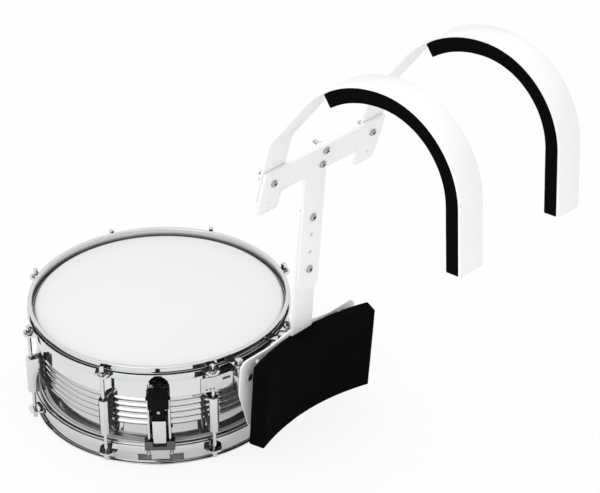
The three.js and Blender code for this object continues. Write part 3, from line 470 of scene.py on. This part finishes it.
# Strainer, butt and drum bracket
for node, name, body, material, slot in (
    ("strainer_base", "strainer_channel", "frame", worn_chrome, "chrome"),
    ("strainer_slide", "strainer_runner", "slide", worn_chrome, "chrome"),
    # The clamps' near-black colour is painted dark reflection on chrome
    ("strainer_clamp", "strap_clamp", "slide", painted_dark_reflection_chrome, "chrome"),
    ("butt_plate", "butt_channel", "frame", worn_chrome, "chrome"),
    ("butt_clamp", "butt_strap_clamp", "frame", painted_dark_reflection_chrome, "chrome"),
    ("drum_bracket", "curved_bracket", "frame", plated, "bracket_steel"),
):
    piece(name, eased_copy(node, 0.35), Matrix.Identity(4), material, [node], body)


def clamp_screws():
    """The two screws that close the clamp on the strap, with round ends that stand out below it."""
    end = [(0, -9), (1.4, -8.7), (2.4, -8), (2.8, -6.8), (2.8, -5.6), (2.4, -4.6), (1.5, -4)]
    end += [(1.5, 2), (0, 2)]
    return together(*[
        put(spun(end, 48, closed=False), moved(x, -clamp_front + 3, clamp_bottom))
        for x in (-clamp_screw_x, clamp_screw_x)
    ])


for place, node, body in ((strainer, "strainer_clamp", "slide"), (butt, "butt_clamp", "frame")):
    piece(f"{node}_screws", clamp_screws(), place, zinc, [node], body)


def knob():
    """A stem and a thin disc whose edge has a ring of grip notches."""
    neck, rim, notched_from, notch_count, notch_share = knob_neck, knob_rim, 6.6, 24, 0.03
    bm = spun([
        (0, knob_foot), (2.2, knob_foot), (2.2, neck - 0.6), (2.6, neck), (5.2, rim - 0.9),
        (7.0, rim - 0.2), (7.3, rim + 0.3), (7.3, rim + 1.7), (6.9, rim + 2.2), (3, rim + 2.2),
        (2.4, rim + 1.9), (0, rim + 1.9),
    ], 144, closed=False)
    for v in bm.verts:
        radius = v.co.xy.length
        if radius > notched_from:
            angle = Vector((1, 0)).angle_signed(v.co.xy)
            v.co.xy *= 1 - notch_share * (0.5 + 0.5 * cos(notch_count * angle))
    return bm


knob_place = strainer @ moved(0, -rod_circle)
piece("tension_knob", knob(), knob_place, black_plastic, ["strainer_knob"], "knob")


def lever():
    p = lever_pivot
    outline = rounded(mirrored([
        (5, p - 5.6), (9, p - 1.6), (9, p + 12), (14.5, p + 12), (14.5, p + 28), (17.25, p + 28),
        (17.25, p + 32), (9.5, p + 47),
    ]), 1.6)
    plate = put(outline_sheet(outline, 3.2, 0.7), moved(0, -lever_back) @ standing)
    panel = rounded(mirrored([(11, p + 15), (11, p + 29), (13.4, p + 32), (7.6, p + 43.6)]), 1.4)
    raised = put(outline_sheet(panel, 1.4, 0.5), moved(0, -lever_back - 2.6) @ standing)
    pivot = moved(0, -pivot_circle, p) @ turned(90, "Y")
    boss, pin = put(rod(4.5, -9, 9, 0.4), pivot), put(rod(2, -16.25, 16.25, 0.3, 32), pivot)
    return together(plate, raised, boss, pin)


piece("throw_lever", lever(), strainer, black_plastic, ["strainer_lever"], "lever")
rivet = spun([(0, 0), (2.4, 0), (2.4, 0.9), (1.9, 1.5), (0, 1.7)], 48, closed=False)
rivet_place = strainer @ moved(0, -lever_back - 3.1, lever_pivot + 7.7) @ standing
piece("lever_rivet", rivet, rivet_place, zinc, ["strainer_lever"], "lever")


# Snare set
def snare_set():
    """Wires under the snare head, an end plate on each end of them, and a strap from it up to its clamp."""
    plate_height, plate_inside = 1.6, -wire_end + end_plate_half
    face = -(shell_half - shell_rise + 2 * touch_gap + film_sheet)
    middle = face - plate_height / 2
    parts = [
        put(
            rod(wire_radius, -wire_end, wire_end, 0.1, 12),
            moved((i - (wire_count - 1) / 2) * wire_pitch, 0, face - wire_radius) @ standing,
        )
        for i in range(wire_count)
    ]
    low, top, turn = middle - 2, clamp_bottom + 8, strap_turn
    inner = [(-strap_radius + strap_sheet, top), (-strap_radius + strap_sheet, low + turn)]
    inner += [(-strap_radius + turn, low + strap_sheet), (plate_inside, middle + strap_sheet / 2)]
    outer = [(plate_inside, middle - strap_sheet / 2), (-strap_radius + turn, low)]
    outer += [(-strap_radius, low + turn), (-strap_radius, top)]
    for side in (0, 180):
        plate_reach = (-wire_end - end_plate_half, plate_inside)
        plate = block((-31, 31), plate_reach, (face - plate_height, face), 0.3)
        strap = put(outline_sheet(inner + outer, strap_width, 0), side_on @ moved(z=-strap_width / 2))
        parts += [put(plate, turned(side, "Z")), put(strap, turned(side, "Z"))]
    return together(*parts)


piece("snare_wires", snare_set(), strainer, wire_steel, ["snare_set"])


# Hoop claws with their square-head screws
def claw():
    bottom = rim_rise - wall_heights[1] + touch_gap
    collar_bottom, head_bottom = bottom + claw_sheet - 0.4, bottom + 5.6
    hook = block((-6, 6), (-211.5, -184.3), (bottom, bottom + claw_sheet), 0.8)
    shaft, collar = rod(3, 40, bottom + 2, 0.3, 32), rod(6.5, collar_bottom, head_bottom, 0.3)
    key_head = block((-4.5, 4.5), (-4.5, 4.5), (head_bottom - 0.3, head_bottom + 8), 0.7)
    return together(hook, put(together(shaft, collar, key_head), moved(0, -claw_circle)))


claw_angle = degrees(asin(claw_half_spread / claw_circle))
for name, angle in (("left", -claw_angle), ("right", claw_angle)):
    piece(f"claw_{name}", claw(), station(angle), worn_chrome, [f"hoop_claw_{name}"])


# Carrier plates. Each stands in its frame's XZ plane, with its drum side at y = 0.
def plate_with_holes(outline, thickness, holes):
    """A flat plate, with round holes given by place and radius."""
    tools = [
        put(rod(radius, -overrun, thickness + overrun, 0, 48), moved(x, z)) for x, z, radius in holes
    ]
    return cut(outline_sheet(outline, thickness, 0.5), *tools)


plate_bolt_z = (plate_bolt_height - carrier_rise) / cos(radians(carrier_lean))
plate_bolts = [(x - carrier_side, plate_bolt_z) for x in (-plate_bolt_x, plate_bolt_x)]
plate_holes = [(x, z, bolt_hole) for x, z in plate_bolts]
plate_holes += [(x, side_hole_z, side_hole) for x in (-side_hole_x, side_hole_x)]
mounting = plate_with_holes(
    rounded(mirrored([(93, -98), (116, -30), (116, 16), (108, 24), (60, 24), (20, 32)]), 5),
    plate_sheet,
    plate_holes,
)
piece("white_plate", mounting, carrier @ standing, white_coat, ["mounting_plate"])
half_post = post_width / 2
low_outline = rounded(mirrored([
    (half_post, lower_post_foot), (half_post, post_holes[-1] + lower_post_margin),
]), 2)
low_post = plate_with_holes(low_outline, lower_sheet, [(0, z, post_hole) for z in post_holes])
low_place = carrier @ moved(0, pad_back) @ standing
piece("post_lower", low_post, low_place, white_coat, ["lower_post"])


def upper_post():
    """The strip's side view, given its width, with its bend eased and its lower corners rounded."""
    back, face, tail, easing = upper_face + upper_sheet, upper_face, cross_bolts[1] + post_tail, 1.8
    tilt = moved(0, face, bend) @ turned(lean, "X")
    miter = upper_sheet * sin(radians(lean) / 2) / cos(radians(lean) / 2)

    def ahead(far, deep):
        return tuple((tilt @ Vector((0, deep, far))).yz)

    outline = [(face, post_foot), (back, post_foot), (back, bend - easing + miter)]
    outline += [ahead(easing + miter, upper_sheet), ahead(tail, upper_sheet), ahead(tail, 0)]
    outline += [ahead(easing, 0), (face, bend - easing)]
    strip = put(outline_sheet(outline, post_width, 0.5), side_on @ moved(z=-post_width / 2))
    tools = [put(rod(post_hole, -10, 10, 0, 48), moved(0, back, z) @ standing) for z in post_holes]
    corner = [(24, -4), (24, 7), (half_post, 7), (13, 0), (13, -4)]
    for side in (-1, 1):
        taken = outline_sheet(rounded([(side * x, z) for x, z in corner], 1), 12, 0)
        tools.append(put(taken, moved(0, back + 3, post_foot) @ standing))
    tools += [put(rod(bolt_hole, -10, 10, 0, 48), tilt @ moved(0, 0, z) @ standing) for z in cross_bolts]
    return cut(strip, *tools)


piece("post_upper", upper_post(), carrier, white_coat, ["upper_post"])
cross_outline = rounded(mirrored([
    (75, cross_low), (75, tab_low), (111, tab_low), (115, cross_low), (115, cross_high),
]), 3)
cross_holes = [(0, z, bolt_hole) for z in cross_bolts]
cross_holes += [(side * arm_bolt_x, z, bolt_hole) for side in (-1, 1) for z in (arm_bolt_z, tab_hole)]
cross = plate_with_holes(cross_outline, cross_sheet, cross_holes)
cross_place = cross_frame @ moved(0, -touch_gap) @ standing
piece("crossbar", cross, cross_place, white_coat, ["cross_piece"])


# Bolts, each along Y with its head on the belly pad's side
def bolt(length, nut_at=None):
    """Along Z from its head's underside, with a hexagon nut where one is asked for."""
    head_profile = [(0, -1.6), (2.3, -1.6), (2.5, -3.1), (2.9, -3.2), (4.4, -2.6), (5.3, -1.4)]
    head_profile += [(5.5, -0.4), (5.3, 0), (0, 0)]
    parts = [spun(head_profile, 48, closed=False), rod(2.7, -0.2, length, 0.5, 32)]
    if nut_at:
        nut_radius, nut_height = 5, 4.5
        nut = bmesh.new()
        bmesh.ops.create_cone(
            nut, cap_ends=True, segments=6, radius1=nut_radius, radius2=nut_radius, depth=nut_height,
        )
        ease(nut, nut.edges[:], 0.35)
        parts.append(put(nut, moved(z=nut_at + nut_height / 2)))
    return together(*parts)


def place_bolt(node, place, length, nut_at=None):
    piece(f"{node}_screw", bolt(length, nut_at), place @ lying, zinc, [node])
    # The near-black disc in the head's socket is painted shade where the socket's hole lies in shade
    piece(f"{node}_socket", rod(2.2, -2.2, -1.55, 0.1, 32), place @ lying, painted_socket_shade, [node])


cross_face = -touch_gap - cross_sheet - touch_gap
for name, (x, z) in zip(("left", "right"), plate_bolts):
    place_bolt(f"plate_bolt_{name}", carrier @ moved(x, pad_back, z), plate_bolt_length)
for name, z in (("lower", post_holes[0]), ("upper", post_holes[-1])):
    place = carrier @ moved(0, upper_face - touch_gap, z)
    place_bolt(f"post_bolt_{name}", place, post_bolt_length, post_nut_at)
for name, z in zip(("lower", "upper"), cross_bolts):
    place = cross_frame @ moved(0, cross_face, z)
    place_bolt(f"cross_bolt_{name}", place, cross_bolt_length, cross_nut_at)


# Shoulder arms: steel strips bent along one path
first_turn, rise_turn, crown_turn = 22.7, 51.5, 86.8
arm_moves = [
    ("ahead", 91, 0), ("turn", first_turn, 25), ("ahead", 90.9, 0), ("turn", rise_turn, 163.6),
    ("turn", crown_turn, 120), ("ahead", 88, 0),
]
arm_path = trail((arm_sheet, arm_foot), arm_moves)
pad_start = first_turn + rise_turn * 2 / 7


def arm():
    outline = [tuple(off_path(p, 0)) for p in arm_path]
    outline += [tuple(off_path(p, arm_sheet)) for p in reversed(arm_path)]
    strip = put(outline_sheet(outline, arm_width, 0.7), side_on @ moved(z=-arm_width / 2))
    hole = put(rod(bolt_hole, -8, 8, 0, 48), moved(0, 0, arm_bolt_z) @ standing)
    return cut(strip, hole)


# Foam pads: a soft-edged slab, divided finely and bent to its place
def slab(length, width, thickness, easing, spacing):
    """A slab along X, its width along Y, from z = 0 down to minus its thickness."""
    bm = block((0, length), (-width / 2, width / 2), (-thickness, 0), 0)
    ease(bm, bm.edges[:], easing, 3)
    for axis, low, high in ((0, 0, length), (1, -width / 2, width / 2), (2, -thickness, 0)):
        count = int((high - low) / spacing)
        for k in range(1, count):
            at, normal = Vector(), Vector()
            at[axis], normal[axis] = low + (high - low) * k / count, 1
            bmesh.ops.bisect_plane(
                bm, geom=bm.verts[:] + bm.edges[:] + bm.faces[:], plane_co=at, plane_no=normal, dist=1e-4,
            )
    return bm


def roughened(bm, depth):
    """Small hollows and swells, always inward, as cut foam has."""
    bmesh.ops.recalc_face_normals(bm, faces=bm.faces)
    bm.normal_update()
    shifts = [
        v.normal * -depth * (0.5 + 0.35 * noise.noise(v.co * 0.05) + 0.15 * noise.noise(v.co * 0.4))
        for v in bm.verts
    ]
    for v, shift in zip(bm.verts, shifts):
        v.co += shift


def shoulder_pad():
    path = [p for p in arm_path if p[1] > radians(pad_start) - 1e-6]
    reach = [0.0]
    for (a, _), (b, _) in zip(path, path[1:]):
        reach.append(reach[-1] + (b - a).length)
    bm = slab(reach[-1], arm_width, pad_thickness, 1.6, 5)
    k = 0
    for v in sorted(bm.verts, key=lambda v: v.co.x):
        while k < len(reach) - 2 and reach[k + 1] < v.co.x:
            k += 1
        t = (v.co.x - reach[k]) / (reach[k + 1] - reach[k])
        (a, turn_a), (b, turn_b) = path[k], path[k + 1]
        spot = off_path((a.lerp(b, t), turn_a + (turn_b - turn_a) * t), arm_sheet + touch_gap - v.co.z)
        v.co = Vector((v.co.y, spot.x, spot.y))
    roughened(bm, 0.35)
    return bm


def belly_pad():
    """The slab bent round an upright axis, with room cut for the lower post and one bolt's head."""
    radius, left, right, bottom, top = 366, -111, 120, -108, 26
    bm = slab(top - bottom, right - left, belly_thickness, 2.2, 6)
    for v in bm.verts:
        height, across, depth = v.co.x + bottom, v.co.y + (left + right) / 2, -v.co.z
        angle, out = asin(across / radius), radius - depth
        v.co = Vector((out * sin(angle), pad_back - radius + out * cos(angle), height))
    roughened(bm, 0.5)
    half_channel = half_post + 0.5
    post_front = pad_back - lower_sheet - touch_gap
    channel = block((-half_channel, half_channel), (post_front, pad_back + 4), (-120, 40), 0)
    x, z = plate_bolts[1]
    pocket = put(rod(6, -8, 4.2, 0), moved(x, pad_back, z) @ standing)
    return cut(bm, channel, pocket)


belly = piece("belly_cushion", belly_pad(), carrier, foam, ["belly_pad"], smooth=50)


def wing_nut():
    """Along Y from the arm's face: a round hub and two flat wings."""
    hub = spun([(3, 0), (6, 0), (6, 2.5), (5, 6), (3, 6)], 48)
    wing, wing_sheet = [(3.2, 2.6), (11, 4), (12, 9), (6.4, 8.4), (3.2, 6)], 2
    wings = []
    for side in (1, -1):
        outline = rounded([(side * x, y) for x, y in wing], 2.4)
        wings.append(put(outline_sheet(outline, wing_sheet, 0.5), moved(z=-wing_sheet / 2)))
    return together(put(hub, lying), *wings)


for name, sign in (("left", -1), ("right", 1)):
    place = cross_frame @ moved(sign * arm_bolt_x)
    body = f"arm_{name}"
    piece(f"arm_strip_{name}", arm(), place, white_coat, [f"shoulder_arm_{name}"], body)
    pad_name, stands_for = f"shoulder_cushion_{name}", [f"shoulder_pad_{name}"]
    pad = piece(pad_name, shoulder_pad(), place, foam, stands_for, body, smooth=50)
    place_bolt(f"arm_bolt_{name}", place @ moved(0, cross_face, arm_bolt_z), arm_bolt_length)
    nut_place = place @ moved(0, arm_sheet + touch_gap, arm_bolt_z)
    nut_name, stands_for = f"wing_nut_{name}", [f"arm_wing_nut_{name}"]
    piece(nut_name, wing_nut(), nut_place, zinc, stands_for, nut_name)


# Studio, with the camera where the photograph was taken from
scene = bpy.context.scene
scene.view_settings.view_transform = "Standard"
camera_data = bpy.data.cameras.new("camera")
camera_data.lens, camera_data.sensor_width = 120, 36
camera = bpy.data.objects.new("camera", camera_data)
camera.location = drum.translation + Vector((-1.63387, -1.80036, 1.6291))
camera.rotation_euler = (radians(58.79), 0, radians(-47))
scene.collection.objects.link(camera)
scene.camera = camera


def lamp(name, place, target, size, power):
    data = bpy.data.lights.new(name, "AREA")
    data.shape, data.size, data.energy = "SQUARE", size, power
    light = bpy.data.objects.new(name, data)
    light.location = place
    light.rotation_euler = (Vector(target) - Vector(place)).to_track_quat("-Z", "Y").to_euler()
    scene.collection.objects.link(light)


lamp("top_softbox", (-0.6, 0.4, 3.0), (0, 0, 0.2), 2.4, 16)
lamp("left_softbox", (-2.6, -0.9, 1.5), (0, 0, 0.2), 1.8, 12)


def worked_out(tree, operation, first, second):
    """A Math node on two values, each a socket or a number."""
    node = tree.nodes.new("ShaderNodeMath")
    node.operation = operation
    for socket, value in zip(node.inputs, (first, second)):
        if isinstance(value, (int, float)):
            socket.default_value = value
        else:
            tree.links.new(value, socket)
    return node.outputs[0]


def ray_kinds(tree):
    """Each is 1 for its rays: straight from the camera, off metal, and off metal a second time."""
    path = tree.nodes.new("ShaderNodeLightPath")
    seen, through = path.outputs["Is Camera Ray"], path.outputs["Is Transmission Ray"]
    straight = worked_out(tree, "MAXIMUM", seen, through)
    mirrored_once = path.outputs["Is Glossy Ray"]
    mirrored_twice = worked_out(tree, "GREATER_THAN", path.outputs["Glossy Depth"], 1.5)
    return straight, mirrored_once, mirrored_twice


def dimmed(tree, mirrored_twice):
    """The strength of what a ray shows: full at first, and faint in a reflection of a reflection."""
    lost_share = 0.95
    return worked_out(tree, "SUBTRACT", 1, worked_out(tree, "MULTIPLY", mirrored_twice, lost_share))


def studio_world():
    """Plain light all round. Metal sees the same white room with a dark band near the horizon."""
    room_level = 0.92
    world = bpy.data.worlds.new("studio")
    world.use_nodes = True
    scene.world = world
    tree = world.node_tree
    background = tree.nodes["Background"]
    straight, mirrored_once, mirrored_twice = ray_kinds(tree)
    place = tree.nodes.new("ShaderNodeTexCoord")
    split = tree.nodes.new("ShaderNodeSeparateXYZ")
    tree.links.new(place.outputs["Generated"], split.inputs["Vector"])
    ramp = tree.nodes.new("ShaderNodeValToRGB")
    stops = [(0.0, 0.9), (0.47, 0.85), (0.5, 0.18), (0.56, 0.1), (0.62, 0.45), (0.7, 0.95), (1.0, 1.0)]
    ramp.color_ramp.elements[0].position, ramp.color_ramp.elements[1].position = stops[0][0], stops[-1][0]
    for position, _ in stops[1:-1]:
        ramp.color_ramp.elements.new(position)
    for element, (_, level) in zip(ramp.color_ramp.elements, stops):
        element.color = (level, level, level, 1)
    span = tree.nodes.new("ShaderNodeMapRange")
    span.inputs["From Min"].default_value = -1
    tree.links.new(split.outputs["Z"], span.inputs["Value"])
    tree.links.new(span.outputs["Result"], ramp.inputs["Fac"])
    room = tree.nodes.new("ShaderNodeMix")
    room.data_type = "RGBA"
    room.inputs["A"].default_value = (room_level, room_level, room_level, 1)
    tree.links.new(mirrored_once, room.inputs["Factor"])
    tree.links.new(ramp.outputs["Color"], room.inputs["B"])
    seen = tree.nodes.new("ShaderNodeMix")
    seen.data_type = "RGBA"
    seen.inputs["B"].default_value = (1, 1, 1, 1)
    tree.links.new(straight, seen.inputs["Factor"])
    tree.links.new(room.outputs["Result"], seen.inputs["A"])
    tree.links.new(seen.outputs["Result"], background.inputs["Color"])
    tree.links.new(dimmed(tree, mirrored_twice), background.inputs["Strength"])


def pale_floor():
    """A share of it is plain white and the rest takes light and shadow. Under the drum all of it does."""
    straight_share, once_share, twice_share = 0.85, 0.3, 0.6
    bm = bmesh.new()
    bmesh.ops.create_grid(bm, x_segments=1, y_segments=1, size=30)
    floor = loose_object(bm)
    floor.name = "floor"
    material = bpy.data.materials.new("pale_floor")
    material.use_nodes = True
    tree = material.node_tree
    shader = tree.nodes["Principled BSDF"]
    shader.inputs["Base Color"].default_value = (0.92, 0.92, 0.92, 1)
    shader.inputs["Roughness"].default_value = 0.9
    straight, mirrored_once, mirrored_twice = ray_kinds(tree)
    glow = tree.nodes.new("ShaderNodeEmission")
    tree.links.new(dimmed(tree, mirrored_twice), glow.inputs["Strength"])
    share = worked_out(tree, "MULTIPLY", straight, straight_share)
    for rays, level in ((mirrored_once, once_share), (mirrored_twice, twice_share)):
        share = worked_out(tree, "ADD", share, worked_out(tree, "MULTIPLY", rays, level))
    place = tree.nodes.new("ShaderNodeTexCoord")
    from_axis = tree.nodes.new("ShaderNodeVectorMath")
    from_axis.operation = "DISTANCE"
    from_axis.inputs[1].default_value = (drum.translation.x, drum.translation.y, 0)
    tree.links.new(place.outputs["Object"], from_axis.inputs[0])
    outside = worked_out(tree, "GREATER_THAN", from_axis.outputs["Value"], (hoop_radius - 1) / 1000)
    share = worked_out(tree, "MULTIPLY", share, outside)
    blend = tree.nodes.new("ShaderNodeMixShader")
    tree.links.new(share, blend.inputs["Fac"])
    tree.links.new(shader.outputs["BSDF"], blend.inputs[1])
    tree.links.new(glow.outputs["Emission"], blend.inputs[2])
    tree.links.new(blend.outputs["Shader"], tree.nodes["Material Output"].inputs["Surface"])
    floor.data.materials.append(material)


studio_world()
pale_floor()
